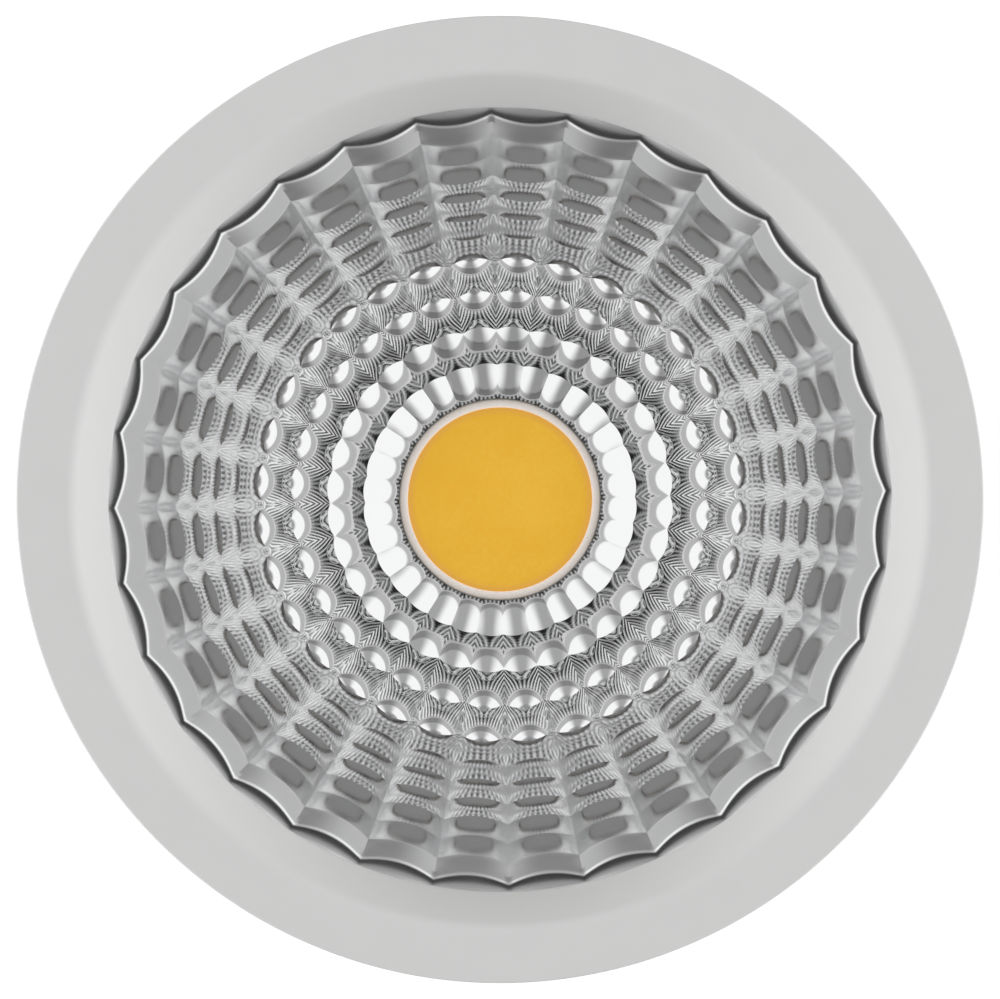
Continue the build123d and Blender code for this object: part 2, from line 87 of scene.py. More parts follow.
class Sock:
    """An output socket of a shader tree. Arithmetic on it adds Math nodes, and node() adds any other."""

    def __init__(self, tree, socket):
        self.tree = tree
        self.socket = socket

    def node(self, kind, output, inputs, **settings):
        """Adds a node, sets it up, feeds its inputs with numbers or sockets and returns one output."""
        made = self.tree.nodes.new("ShaderNode" + kind)
        for key, value in settings.items():
            setattr(made, key, value)
        for key, value in inputs.items():
            if isinstance(value, Sock):
                self.tree.links.new(value.socket, made.inputs[key])
            else:
                made.inputs[key].default_value = value
        return Sock(self.tree, made.outputs[output])

    def math(self, operation, *values):
        """Math node on this socket and further values."""
        return self.node("Math", 0, dict(enumerate((self, *values))), operation=operation)

    def __add__(self, other):
        return self.math("ADD", other)

    def __mul__(self, other):
        return self.math("MULTIPLY", other)

    __radd__ = __add__
    __rmul__ = __mul__

    def __sub__(self, other):
        return self.math("SUBTRACT", other)

    def __rsub__(self, other):
        return self * -1.0 + other

    def __truediv__(self, other):
        return self.math("DIVIDE", other)

    def __rtruediv__(self, other):
        return self.math("POWER", -1.0) * other

    def rise(self, low, high):
        """0 below low, 1 above high, smooth between them."""
        values = {0: self, 1: low, 2: high, 3: 0.0, 4: 1.0}
        return self.node("MapRange", 0, values, interpolation_type="SMOOTHSTEP")

    def blend(self, low, high):
        """Colour that goes from low to high as this socket goes from 0 to 1."""
        pair = {}
        for key, colour in ((6, low), (7, high)):
            pair[key] = colour if isinstance(colour, Sock) else (*colour, 1.0)
        return self.node("Mix", 2, {0: self, **pair}, data_type="RGBA")

    def noise(self, size, detail=3.0):
        """Noise from 0 to 1 over these coordinates, with lumps of about the given size in metres."""
        return self.node("TexNoise", 0, {"Vector": self, "Scale": LUMP / size, "Detail": detail})

    def bump(self):
        """Normal that follows this socket as a height in metres."""
        return self.node("Bump", 0, {"Height": self, "Distance": 1.0, "Strength": 1.0})

    def into(self, shader, name):
        """Links this socket to an input of a shader."""
        self.tree.links.new(self.socket, shader.inputs[name])


def new_material(name, uniform):
    """Principled material with uniform values; returns it, its shader and its object coordinates."""
    made = bpy.data.materials.new(name)
    made.use_nodes = True
    shader = made.node_tree.nodes["Principled BSDF"]
    for key, value in uniform.items():
        shader.inputs[key].default_value = value
    coordinates = made.node_tree.nodes.new("ShaderNodeTexCoord")
    return made, shader, Sock(made.node_tree, coordinates.outputs["Object"])


def shades(colour, *factors):
    """The colour times each factor."""
    return [tuple(min(channel * factor, 1.0) for channel in colour) for factor in factors]


def dress(material, nodes):
    """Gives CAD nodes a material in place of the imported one."""
    for name in nodes:
        mesh = frame["nodes"][name].data
        mesh.materials.clear()
        mesh.materials.append(material)


cast, shader, place = new_material("cast_aluminium", {"Metallic": 1.0})
drawn_out = place.node("Mapping", 0, {"Vector": place, "Scale": STREAK_SCALE})
streaks = drawn_out.noise(STREAK_SIZE, detail=4.0).rise(*STREAK_EDGE)
pits = place.noise(PIT_SIZE, detail=5.0)
skin = streaks * STREAK_SHARE + pits.rise(*PIT_EDGE) * (1 - STREAK_SHARE)
skin.blend(*shades(colours["cast_aluminium"], *CAST_SHADES)).into(shader, "Base Color")
(pits * PIT_ROUGH + streaks * STREAK_ROUGH + CAST_ROUGH).into(shader, "Roughness")
(pits * PIT_DEPTH).bump().into(shader, "Normal")
dress(cast, ["heat_sink"])

# Thermal pad
# A soft grey sheet of filled silicone. It is cut to the LED's size and squeezed between the LED's plate
# and the floor of the heat sink.
MOULD_IOR = 1.49
MOULD_CLOUD = 6  # size of the clouds of colour, in grains
MOULD_SHADES = (0.9, 1.06)
MOULD_ROUGH = 0.16  # spread of the roughness over the grain


def moulded(slot, nodes, grain, height, rough):
    """Moulded plastic, rubber or ceramic: slight clouds of colour and a fine eroded grain."""
    made, shader, place = new_material(slot, {"IOR": MOULD_IOR})
    clouds = place.noise(MOULD_CLOUD * grain)
    clouds.blend(*shades(colours[slot], *MOULD_SHADES)).into(shader, "Base Color")
    grains = place.noise(grain, detail=4.0)
    (grains * MOULD_ROUGH + (rough - MOULD_ROUGH / 2)).into(shader, "Roughness")
    (grains * height).bump().into(shader, "Normal")
    dress(made, nodes)


moulded("thermal_silicone", ["thermal_pad"], grain=0.2 * MM, height=0.004 * MM, rough=0.7)

# LED plate
# A small flat plate of fired white alumina that carries the chips under the phosphor. The holder presses
# it down on the thermal pad.
moulded("led_ceramic", ["led_substrate"], grain=0.1 * MM, height=0.002 * MM, rough=0.55)

# Pads and contacts
# Copper pads printed on the plate, and the spring strips in the holder that press on them. Both are
# flashed with gold, so they stay bright.
METAL_CLOUD = 8  # size of the clouds, in grains
METAL_SHADES = (0.86, 1.05)
CLOUD_ROUGH = 0.14  # spread of the roughness over the clouds
GRAIN_ROUGH = 0.1  # and over the grain


def metal(slot, nodes, grain, height, rough):
    """Plated metal: fine grain in the height, clouds in the roughness and a slight change of colour."""
    made, shader, place = new_material(slot, {"Metallic": 1.0})
    clouds = place.noise(METAL_CLOUD * grain)
    clouds.blend(*shades(colours[slot], *METAL_SHADES)).into(shader, "Base Color")
    grains = place.noise(grain, detail=4.0)
    even = rough - (CLOUD_ROUGH + GRAIN_ROUGH) / 2
    (clouds * CLOUD_ROUGH + grains * GRAIN_ROUGH + even).into(shader, "Roughness")
    (grains * height).bump().into(shader, "Normal")
    dress(made, nodes)


metal("gold_plate", ["led_pads", "holder_contacts"], grain=0.2 * MM, height=0.001 * MM, rough=0.26)

# LED dam
# A bead of pale silicone drawn round the chips in one pass before the phosphor is poured. It is round on
# top and sits on the LED's plate. It has a faint painted glow, and its images in the mirror are painted
# dark.
light_low, light_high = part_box("led_phosphor")
dam_low, dam_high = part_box("led_dam")
LIGHT_R = light_high.x
DAM_R = dam_high.x
BEAD_H = 0.28 * MM
BEAD_ROUND = 0.25  # power of the sine, small for a bead with steep sides and a broad top
BEAD_ROWS = 25  # mesh rows over the bead
BEAD_TURN = 160  # mesh steps round it
WELD = 1e-7  # points nearer than this become one
SHARP = np.radians(40.0)  # edges sharper than this stay sharp
MILK_SIZE = 0.4 * MM
MILK_HEIGHT = 0.004 * MM
MILK_ROUGH = 0.1
SILICONE_IOR = 1.41
DAM_DULL = (0.94, 0.86, 0.79)
DAM_PALE = (0.98, 0.91, 0.85)
DAM_PAINTED_REFLECTION = (0.05, 0.05, 0.05)
DAM_PAINTED_GLOW = 0.3
DAM_ROUGH = 0.35
BLACK = (0.0, 0.0, 0.0)


def turned(profile, segments, start=0.0):
    """Points of a profile (radius, height) turned round Z: x = r cos a, y = r sin a, z = height."""
    angle = start + np.linspace(0.0, 2.0 * np.pi, segments, endpoint=False)
    radius = profile[:, :1]
    height = np.broadcast_to(profile[:, 1:], (len(profile), segments))
    return np.stack([radius * np.cos(angle), radius * np.sin(angle), height], axis=-1)


def grid_faces(rows, columns, start=0, turn=False):
    """Corner indices of the quads of a grid of points; turn joins the last column to the first."""
    index = start + np.arange(rows * columns).reshape(rows, columns)
    if turn:
        index = np.concatenate([index, index[:, :1]], axis=1)
    corners = [index[:-1, :-1], index[:-1, 1:], index[1:, 1:], index[1:, :-1]]
    return np.stack(corners, axis=-1).reshape(-1, 4)


def add_piece(name, points, faces, material, weld=True):
    """Smooth mesh object from arrays of points and of corner indices; weld closes its seams and poles."""
    mesh = bpy.data.meshes.new(name)
    mesh.from_pydata(points.reshape(-1, 3), [], faces)
    mesh.polygons.foreach_set("use_smooth", np.ones(len(faces), dtype=bool))
    mesh.materials.append(material)
    if weld:
        shell = bmesh.new()
        shell.from_mesh(mesh)
        bmesh.ops.remove_doubles(shell, verts=shell.verts, dist=WELD)
        shell.to_mesh(mesh)
        shell.free()
        mesh.set_sharp_from_angle(angle=SHARP)
    piece = bpy.data.objects.new(name, mesh)
    bpy.context.scene.collection.objects.link(piece)
    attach(piece, "root")
    return piece


# Over the half turn b, the bead's radius is r + w + w cos b and its height is h sin(b)^p.
half_turn = np.linspace(0.0, np.pi, BEAD_ROWS)[:, None]
bead_half = (DAM_R - LIGHT_R) / 2
bead_r = LIGHT_R + bead_half + bead_half * np.cos(half_turn)
bead_z = dam_high.z - BEAD_H + BEAD_H * np.sin(half_turn) ** BEAD_ROUND
bead_foot = [(DAM_R, dam_low.z)]
bead_top = np.concatenate([bead_r, bead_z], axis=1)
bead_profile = np.concatenate([bead_foot, bead_top, [(LIGHT_R, dam_low.z)], bead_foot])
bead_points = turned(bead_profile, BEAD_TURN)
bead_faces = grid_faces(len(bead_profile), BEAD_TURN, turn=True)

# The emission is a painted glow: the dam is no lamp.
dam, shader, place = new_material("dam_silicone", {"IOR": SILICONE_IOR, "Emission Strength": DAM_PAINTED_GLOW})
milk = place.noise(MILK_SIZE)
pale = milk.blend(DAM_DULL, DAM_PALE)
# Painted reflection: rays that come off the mirror see the dam painted near black and without glow.
painted_mirror_mask = place.node("LightPath", "Is Glossy Ray", {})
painted_mirror_mask.blend(pale, DAM_PAINTED_REFLECTION).into(shader, "Base Color")
painted_mirror_mask.blend(pale, BLACK).into(shader, "Emission Color")
(milk * MILK_ROUGH + DAM_ROUGH).into(shader, "Roughness")
(milk * MILK_HEIGHT).bump().into(shader, "Normal")
bead_piece = add_piece("led_dam_bead", bead_points, bead_faces, dam)
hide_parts("led_dam")

# LED phosphor
# Clear silicone filled with yellow phosphor, poured inside the dam and cured. It creeps up the dam, so
# its edge is thinner and more orange. It has a painted glow, and its mirror images are painted grey.
CREEP_FROM = 0.93  # share of the radius where the creep starts
CREEP_H = 0.10 * MM
SUNK = 0.02 * MM  # how far the pour has shrunk in the middle
EDGE_GAP = 0.02 * MM  # room to the dam at the foot
LIGHT_ROWS = 40  # mesh rows from the middle to the edge
CROWDING = 0.7  # power that sets the rows closer towards the edge
LIGHT_TURN = 128  # mesh steps round the disc
GRAIN_SIZE = 0.12 * MM
GRAIN_HEIGHT = 0.004 * MM
GRAIN_SHARE = 0.5  # of the mottling; the clouds make the rest
CLOUD_SIZE = 1.6 * MM
MOTTLE_EDGE = (0.3, 0.7)
YELLOW_DEEP = (0.775, 0.420, 0.030)
YELLOW_LIGHT = (0.815, 0.462, 0.044)
YELLOW_EDGE = (0.72, 0.37, 0.055)
LIGHT_PAINTED_REFLECTION = (0.42, 0.42, 0.42)
LIGHT_PAINTED_GLOW = 0.46
LIGHT_ROUGH = 0.42
LIGHT_SPREAD = 0.1  # spread of the roughness over the grain
ORANGE_FROM = 0.90  # share of the radius where the edge's colour starts


def from_axis(place):
    """Distance from the axis, the root of x^2 + y^2."""
    x, y = [place.node("SeparateXYZ", axis, {0: place}) for axis in range(2)]
    return (x * x + y * y).math("SQRT")


# The height over the radius is level, then rises with the square of the share of the creep's width.
share = np.linspace(0.0, 1.0, LIGHT_ROWS)[::-1, None] ** CROWDING
creep = CREEP_H * np.clip((share - CREEP_FROM) / (1.0 - CREEP_FROM), 0.0, 1.0) ** 2
light_top = np.concatenate([share * LIGHT_R, light_high.z - SUNK + creep], axis=1)
light_foot = [(0.0, light_low.z), (LIGHT_R - EDGE_GAP, light_low.z)]
light_profile = np.concatenate([light_foot, light_top])
light_points = turned(light_profile, LIGHT_TURN)
light_faces = grid_faces(len(light_profile), LIGHT_TURN, turn=True)

# The emission is a painted glow that brightens the yellow; the LED is not lit.
phosphor, shader, place = new_material("phosphor", {"IOR": SILICONE_IOR, "Emission Strength": LIGHT_PAINTED_GLOW})
grain = place.noise(GRAIN_SIZE)
cloud = place.noise(CLOUD_SIZE, detail=2.0)
mottling = (grain * GRAIN_SHARE + cloud * (1 - GRAIN_SHARE)).rise(*MOTTLE_EDGE)
body = mottling.blend(YELLOW_DEEP, YELLOW_LIGHT)
tone = (from_axis(place) / LIGHT_R).rise(ORANGE_FROM, 1.0).blend(body, YELLOW_EDGE)
# Painted reflection: rays that come off the mirror see the phosphor painted grey and without glow.
painted_mirror_mask = place.node("LightPath", "Is Glossy Ray", {})
painted_mirror_mask.blend(tone, LIGHT_PAINTED_REFLECTION).into(shader, "Base Color")
painted_mirror_mask.blend(tone, BLACK).into(shader, "Emission Color")
(grain * LIGHT_SPREAD + LIGHT_ROUGH).into(shader, "Roughness")
(grain * GRAIN_HEIGHT).bump().into(shader, "Normal")
light = add_piece("led_phosphor_silicone", light_points, light_faces, phosphor)
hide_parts("led_phosphor")

# Holder and bushes
# The frame that presses the LED down and the bushes round its wires, moulded from a white plastic that
# stands the heat. Two screws hold the frame on the heat sink, and the bushes are pressed into its floor.
moulded("white_plastic", ["led_holder", "lead_bushes"], grain=0.2 * MM, height=0.004 * MM, rough=0.5)

# Reflector
# A moulded plastic bowl with a vacuum-deposited mirror coat. It has 32 sectors: four rings of round
# pillows on the floor, then a steep wall of low cushions between light valleys. Its foot stands on the
# LED's holder and the front ring clamps its flange.
SECTORS = 32
FIRST_VALLEY = np.radians(1.3)
HALF_SECTOR = np.pi / SECTORS
THROAT_R = 5.3 * MM
PILLOWS = 4  # rings of pillows
PILLOW_W = 1.905 * MM
WALL_R = 12.72 * MM  # where the wall starts, in the middle of a sector
CUSHION_W = 0.955 * MM
RIM_R = 19.13 * MM
FLANGE_R = 21.5 * MM
FLANGE_H = 1.0 * MM
BOWL_WALL = 1.0 * MM
START_SLOPES = np.radians([34, 38, 46, 48, 54, 54.6, 57, 60, 64, 66, 43])  # at the inner end of each ring
END_SLOPES = np.radians([16, 15, 9, 7, 46.8, 50, 50.8, 53.1, 57.5, 59.5, 35])  # at its outer end
EASES = [0.7, 1.4, 1.8, 2.1, 1.2, 1.0, 1.2, 1.2, 1.0, 1.0, 1.0]  # how late each ring bends over
PILLOW_AT = np.array([5.3, 7.2, 9.1, 11.0, 12.7]) * MM  # radii at which the next two rows hold
DROPS = [2.7, 2.2, 2.6, 3.2, 3.0]  # drop of a pillow's sides over the squared radius, per metre
TIPS = np.array([0.0, 0.10, 0.18, 0.26, 0.26]) * MM  # how far the ends of its sides stand in
SCALLOP_AT = np.array([12.7, 13.7, 15.6, 16.5, 17.5, 18.45, 19.13]) * MM
SCALLOPS = np.array([0.12, 0.30, 0.34, 0.375, 0.41, 0.44, 0.47]) * MM  # depth of the wall's valleys
WALL_SEARCH = 0.8 * MM
HALVINGS = 36
SLOPE_SAMPLES = 801
BEYOND = 0.5  # share of a ring's width by which its curve goes on at both ends
STEEPEST = 0.97  # largest sine of a slope
ALONG = 12  # mesh steps over the length of a facet
ACROSS = 16  # mesh steps over its width
NUDGE = 1e-4  # step in both parameters from which a facet's normal is taken
bowl_low, bowl_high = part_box("reflector")
rim_z = bowl_high.z
rings = range(len(START_SLOPES))
middle_r = np.concatenate([
    THROAT_R + PILLOW_W * np.arange(PILLOWS),
    WALL_R + CUSHION_W * np.arange(len(rings) - PILLOWS),
    [RIM_R],
])


def climb(slope, run):
    """Height over a run of distances, the running sum of tan(slope) between neighbours."""
    steepness = np.tan(slope)
    return np.concatenate([[0.0], np.cumsum((steepness[1:] + steepness[:-1]) / 2 * np.diff(run))])


def meridian(ring, radius):
    """Height over a ring's start along its middle, the sum of tan(slope) over the radius.

    At the share t of the ring's width, sin(slope) = s0 + (s1 - s0) t^ease.
    """
    r0, r1 = middle_r[ring:ring + 2]
    s0 = np.sin(START_SLOPES[ring])
    s1 = np.sin(END_SLOPES[ring])
    share = np.linspace(-BEYOND, 1.0 + BEYOND, SLOPE_SAMPLES)
    sine = s0 + (s1 - s0) * np.sign(share) * np.abs(share) ** EASES[ring]
    height = climb(np.arcsin(np.clip(sine, -STEEPEST, STEEPEST)), share * (r1 - r0))
    height -= np.interp(0.0, share, height)
    return np.interp((radius - r0) / (r1 - r0), share, height)


start_z = np.zeros(len(middle_r))
for ring in rings:
    start_z[ring + 1] = start_z[ring] + meridian(ring, middle_r[ring + 1])


def facet_z(ring, middle, across):
    """Height of a facet at the radius that its point would have in the middle of the sector.

    A pillow's sides drop by k r^2 s^2. A cushion's bulge over its chord fades as 1 - s^4.
    """
    bulge = meridian(ring, middle)
    if ring < PILLOWS:
        drop = np.interp(middle, PILLOW_AT, DROPS) * middle ** 2
        return start_z[ring] + bulge - drop * across ** 2
    r0, r1 = middle_r[ring:ring + 2]
    chord = (start_z[ring + 1] - start_z[ring]) * (middle - r0) / (r1 - r0)
    return start_z[ring] + chord + (bulge - chord) * (1 - across ** 4)


def scallop(ring, along, across):
    """How far a facet stands back from its middle, in proportion to s^2.

    A pillow's sides stand in near its two ends only, as (2t - 1)^2.
    """
    middle = middle_r[ring] + (middle_r[ring + 1] - middle_r[ring]) * along
    if ring < PILLOWS:
        return -np.interp(middle, PILLOW_AT, TIPS) * (2 * along - 1) ** 2 * across ** 2
    return np.interp(middle, SCALLOP_AT, SCALLOPS) * across ** 2


def wall_foot(across):
    """Radius at which the wall meets the last pillows, found by halving."""
    edge = middle_r[PILLOWS]
    outside = scallop(PILLOWS, 0.0, across)
    inside = scallop(PILLOWS - 1, 1.0, across)
    low = np.full_like(across, edge - WALL_SEARCH)
    high = np.full_like(across, edge + WALL_SEARCH)
    for _ in range(HALVINGS):
        radius = (low + high) / 2
        over = facet_z(PILLOWS, radius - outside, across) > facet_z(PILLOWS - 1, radius - inside, across)
        high = np.where(over, radius, high)
        low = np.where(over, low, radius)
    return (low + high) / 2


def facet(ring, along, across):
    """Point on a facet of the sector round +X, along from 0 to 1 outwards and across from -1 to 1.

    The radius is that of the middle plus the scallop, and the angle is in proportion to across.
    """
    inner = np.full_like(across, middle_r[ring])
    outer = np.full_like(across, middle_r[ring + 1])
    if ring == PILLOWS:
        inner = wall_foot(across) - scallop(ring, 0.0, across)
    if ring == PILLOWS - 1:
        outer = wall_foot(across) - scallop(ring, 1.0, across)
    middle = inner + (outer - inner) * along
    radius = middle + scallop(ring, along, across)
    angle = HALF_SECTOR * across
    height = facet_z(ring, middle, across)
    return np.stack([radius * np.cos(angle), radius * np.sin(angle), height], axis=-1)


def spun(vectors):
    """Copies of vectors of the sector round +X, one turned to the middle of each sector."""
    angle = FIRST_VALLEY + HALF_SECTOR * (2 * np.arange(SECTORS) + 1)
    cosine = np.cos(angle)
    sine = np.sin(angle)
    zero = np.zeros(SECTORS)
    spin = np.array([[cosine, -sine, zero], [sine, cosine, zero], [zero, zero, zero + 1]])
    return np.einsum("ijk,...j->k...i", spin, vectors)


steps = np.linspace(-1.0, 1.0, ACROSS + 1)
along, across = np.meshgrid(np.linspace(0.0, 1.0, ALONG + 1), steps, indexing="ij")
patch = grid_faces(*across.shape)
points = []
normals = []
faces = []
count = 0
for ring in rings:
    rising = facet(ring, along + NUDGE, across) - facet(ring, along - NUDGE, across)
    turning = facet(ring, along, across + NUDGE) - facet(ring, along, across - NUDGE)
    upright = np.cross(rising, turning)
    upright /= np.linalg.norm(upright, axis=-1, keepdims=True)
    points.append(spun(facet(ring, along, across)).reshape(-1, 3))
    normals.append(spun(upright).reshape(-1, 3))
    starts = count + np.arange(SECTORS) * across.size
    faces.append((patch[None] + starts[:, None, None]).reshape(-1, 4)[:, ::-1])
    count += SECTORS * across.size

# The rim is a rounded lip along the scallops. Outside it the flange climbs a little further, to a plain
# circle. Its height is the sum of tan(slope) over the distance out, with sin(slope) = s (1 - t^3) on the
# lip.
LIP_W = 0.45 * MM
LIP_SINE = np.sin(np.radians(35))
LIP_ROWS = 11
FLAT_ROWS = 26
FLAT_AT = [0.0, 0.38, 0.44, 1.0]  # shares of the flange's width
FLAT_SLOPES = np.radians([0, 16, 2, 2])
rim_across = steps[:-1]
lip_share = np.linspace(0.0, 1.0, LIP_ROWS)
flat_share = np.linspace(0.0, 1.0, FLAT_ROWS + 1)[1:]
run_out = np.concatenate([lip_share * LIP_W, LIP_W + flat_share * (FLANGE_R - RIM_R - LIP_W)])
lip_slope = np.arcsin(LIP_SINE * (1 - lip_share ** 3))
lift_out = climb(np.concatenate([lip_slope, np.interp(flat_share, FLAT_AT, FLAT_SLOPES)]), run_out)
lip_r = RIM_R + SCALLOPS[-1] * rim_across ** 2 + lip_share[:, None] * LIP_W
flat_r = lip_r[-1] + (FLANGE_R - lip_r[-1]) * flat_share[:, None]
flange_r = np.concatenate([lip_r, flat_r])
flange_angle = HALF_SECTOR * np.broadcast_to(rim_across, flange_r.shape)
flange_z = np.broadcast_to((start_z[-1] + lift_out)[:, None], flange_r.shape)
flange = np.stack([flange_r * np.cos(flange_angle), flange_r * np.sin(flange_angle), flange_z], axis=-1)
flange = np.moveaxis(spun(flange), 0, 1).reshape(len(run_out), -1, 3)
points.append(flange.reshape(-1, 3))
faces.append(grid_faces(*flange.shape[:2], start=count, turn=True)[:, ::-1])
count += flange[..., 0].size

# The back: the flange's edge and underside, the plain outer wall down to the foot and the throat's edge.
# It is turned from its profile, and its last row follows the inner edge of the pillows.
BACK_OUT = 0.8 * BOWL_WALL
BACK_DOWN = 0.9 * BOWL_WALL
flange_top = start_z[-1] + lift_out[-1]
lift = rim_z - flange_top
foot_z = bowl_low.z - lift
outside_r = middle_r[-3::-2] + BACK_OUT
outside_z = np.maximum(start_z[-3::-2] - BACK_DOWN, foot_z)
back_profile = np.concatenate([
    [(FLANGE_R, flange_top), (FLANGE_R, flange_top - FLANGE_H), (RIM_R + BOWL_WALL, flange_top - FLANGE_H)],
    np.stack([outside_r, outside_z], axis=1),
    [(THROAT_R, foot_z), (THROAT_R, 0.0)],
])
back = turned(back_profile, SECTORS * ACROSS, FIRST_VALLEY)
back[-1, :, 2] = np.tile(facet(0, np.zeros(ACROSS), rim_across)[:, 2], SECTORS)
points.append(back.reshape(-1, 3))
faces.append(grid_faces(*back.shape[:2], start=count, turn=True)[:, ::-1])

# The coat is clear over the floor and a little duller up the wall and over the rim. The cut edge of the
# throat has no coat, and its near-black colour is also painted shade for the gap round the LED.
HAZE_SIZE = 2.5 * MM
COAT_DULL = (0.872, 0.876, 0.880)
COAT_BRIGHT = (0.902, 0.904, 0.906)
UNCOATED_AND_PAINTED_SHADE = (0.01, 0.01, 0.01)
COAT_IOR = 1.5
COAT_ROUGH = 0.06
HAZE_ROUGH = 0.02  # what the haze adds, and then each band
WALL_ROUGH = 0.025
HIGH_ROUGH = 0.05
RIM_ROUGH = 0.06
HAZE_EDGE = (0.45, 0.8)
WALL_BAND = (12.3 * MM, 13.0 * MM)  # radii over which the coat gets duller
HIGH_BAND = (16.4 * MM, 18.6 * MM)
RIM_BAND = (18.9 * MM, 19.2 * MM)
THROAT_BAND = (THROAT_R + 0.01 * MM, THROAT_R + 0.05 * MM)  # radii over which the coat starts
WAVE_SIZE = 1.1 * MM
WAVE_HEIGHT = 0.005 * MM
mirror, shader, place = new_material("mirror_coat", {"IOR": COAT_IOR})
haze = place.noise(HAZE_SIZE, detail=4.0)
coat = haze.blend(COAT_DULL, COAT_BRIGHT)
axis_r = from_axis(place)
on_wall = axis_r.rise(*WALL_BAND)
high_up = axis_r.rise(*HIGH_BAND)
on_rim = axis_r.rise(*RIM_BAND)
dulled = haze.rise(*HAZE_EDGE) * HAZE_ROUGH + on_wall * WALL_ROUGH
dulled = dulled + high_up * HIGH_ROUGH + on_rim * RIM_ROUGH
(dulled + COAT_ROUGH).into(shader, "Roughness")
coated = axis_r.rise(*THROAT_BAND)
coated.into(shader, "Metallic")
# The bare throat edge is near black: uncoated plastic, darkened as painted shade for the gap round the LED.
coated.blend(UNCOATED_AND_PAINTED_SHADE, coat).into(shader, "Base Color")
(place.noise(WAVE_SIZE, detail=2.0) * WAVE_HEIGHT).bump().into(shader, "Normal")

# The facets keep the exact normals of their formula, so that each crease stays sharp.
points = np.concatenate(points) + np.array([0.0, 0.0, lift])
reflector = add_piece("reflector_mirror", points, np.concatenate(faces), mirror, weld=False)
facet_normals = np.concatenate(normals)
all_normals = np.empty(len(points) * 3, dtype=np.float32)
reflector.data.vertex_normals.foreach_get("vector", all_normals)
all_normals = all_normals.reshape(-1, 3)
all_normals[:len(facet_normals)] = facet_normals
reflector.data.normals_split_custom_set_from_vertices(all_normals)
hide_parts("reflector")

# Front ring
# A turned aluminium ring with a flat face and a bevel round its bore, powder coated in satin white. Three
# screws from behind hold it on the body's flange.
ring_low, ring_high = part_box("front_ring")
RING_R = min(-ring_low.x, ring_high.x)
RING_TURN = 256  # mesh steps round the ring
BORE_R = 20.3 * MM
BEVEL_R = 22.1 * MM
SEAT_R = 21.65 * MM
LAND = 0.5 * MM
CHAMFER = 0.25 * MM
RING_ROUNDINGS = np.array([0.1, 0.1, 0.12, 0.45, 0.12, 0.06, 0.05]) * MM
MOST = 0.49  # largest share of a side that a rounding takes
RING_WHITE = (0.775, 0.775, 0.77)
RING_SHADES = (0.985, 1.01)
RING_ROUGH = 0.40
PAINT_IOR = 1.5
SPECKLE_SIZE = 0.9 * MM
SPECKLE_ROUGH = 0.08
PEEL_SIZE = 0.35 * MM
PEEL_HEIGHT = 0.0025 * MM


def rounded(corners, radii, steps=8):
    """Profile with each inner corner replaced by a curve.

    Between the points p0 and p2 at the corner's radius along both sides, the curve is
    (1-t)^2 p0 + 2 t (1-t) p1 + t^2 p2.
    """
    corners = np.asarray(corners, dtype=float)
    t = np.linspace(0.0, 1.0, steps)[:, None]
    parts = [corners[:1]]
    for before, corner, after, radius in zip(corners[:-2], corners[1:-1], corners[2:], radii):
        back = before - corner
        ahead = after - corner
        start = corner + back * min(radius / np.linalg.norm(back), MOST)
        end = corner + ahead * min(radius / np.linalg.norm(ahead), MOST)
        parts.append((1 - t) ** 2 * start + 2 * t * (1 - t) * corner + t ** 2 * end)
    parts.append(corners[-1:])
    return np.concatenate(parts)


ring_corners = [
    (SEAT_R, ring_low.z), (RING_R - CHAMFER, ring_low.z), (RING_R, ring_low.z + CHAMFER),
    (RING_R, ring_high.z), (BEVEL_R, ring_high.z), (BORE_R, rim_z + LAND), (BORE_R, rim_z),
    (SEAT_R, rim_z), (SEAT_R, ring_low.z),
]
ring_profile = rounded(ring_corners, RING_ROUNDINGS)
ring_points = turned(ring_profile, RING_TURN)
ring_faces = grid_faces(len(ring_profile), RING_TURN, turn=True)
white, shader, place = new_material("white_paint", {"IOR": PAINT_IOR})
speckle = place.noise(SPECKLE_SIZE, detail=4.0)
speckle.blend(*shades(RING_WHITE, *RING_SHADES)).into(shader, "Base Color")
(speckle * SPECKLE_ROUGH + RING_ROUGH).into(shader, "Roughness")
(place.noise(PEEL_SIZE, detail=2.0) * PEEL_HEIGHT).bump().into(shader, "Normal")
front_ring = add_piece("front_ring_painted", ring_points, ring_faces, white)
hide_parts("front_ring")

# Leads
# Two short stranded wires in smooth extruded insulation, red and black. They run from the holder's
# contacts through the bushes and are soldered to the driver board.
moulded("red_insulation", ["lead_positive"], grain=0.15 * MM, height=0.002 * MM, rough=0.38)
moulded("black_insulation", ["lead_negative"], grain=0.15 * MM, height=0.002 * MM, rough=0.38)

# Insulating sleeve
# A thin plastic cup, moulded in one piece and pushed into the driver tube. It keeps the driver board away
# from the metal body.
moulded("sleeve_plastic", ["insulating_sleeve"], grain=0.25 * MM, height=0.004 * MM, rough=0.55)

# Driver board
# A round board of glass fibre and resin under a green solder mask. It is routed to shape and stands in
# the insulating sleeve.
moulded("board_mask", ["driver_board"], grain=0.12 * MM, height=0.003 * MM, rough=0.35)

# Transformer and choke
# Cores pressed and fired from grey-black ferrite, and a winding under glossy tape. They are soldered to
# the driver board.
moulded("ferrite", ["transformer_core", "filter_choke"], grain=0.12 * MM, height=0.003 * MM, rough=0.6)
moulded("winding_tape", ["transformer_winding"], grain=0.3 * MM, height=0.004 * MM, rough=0.3)

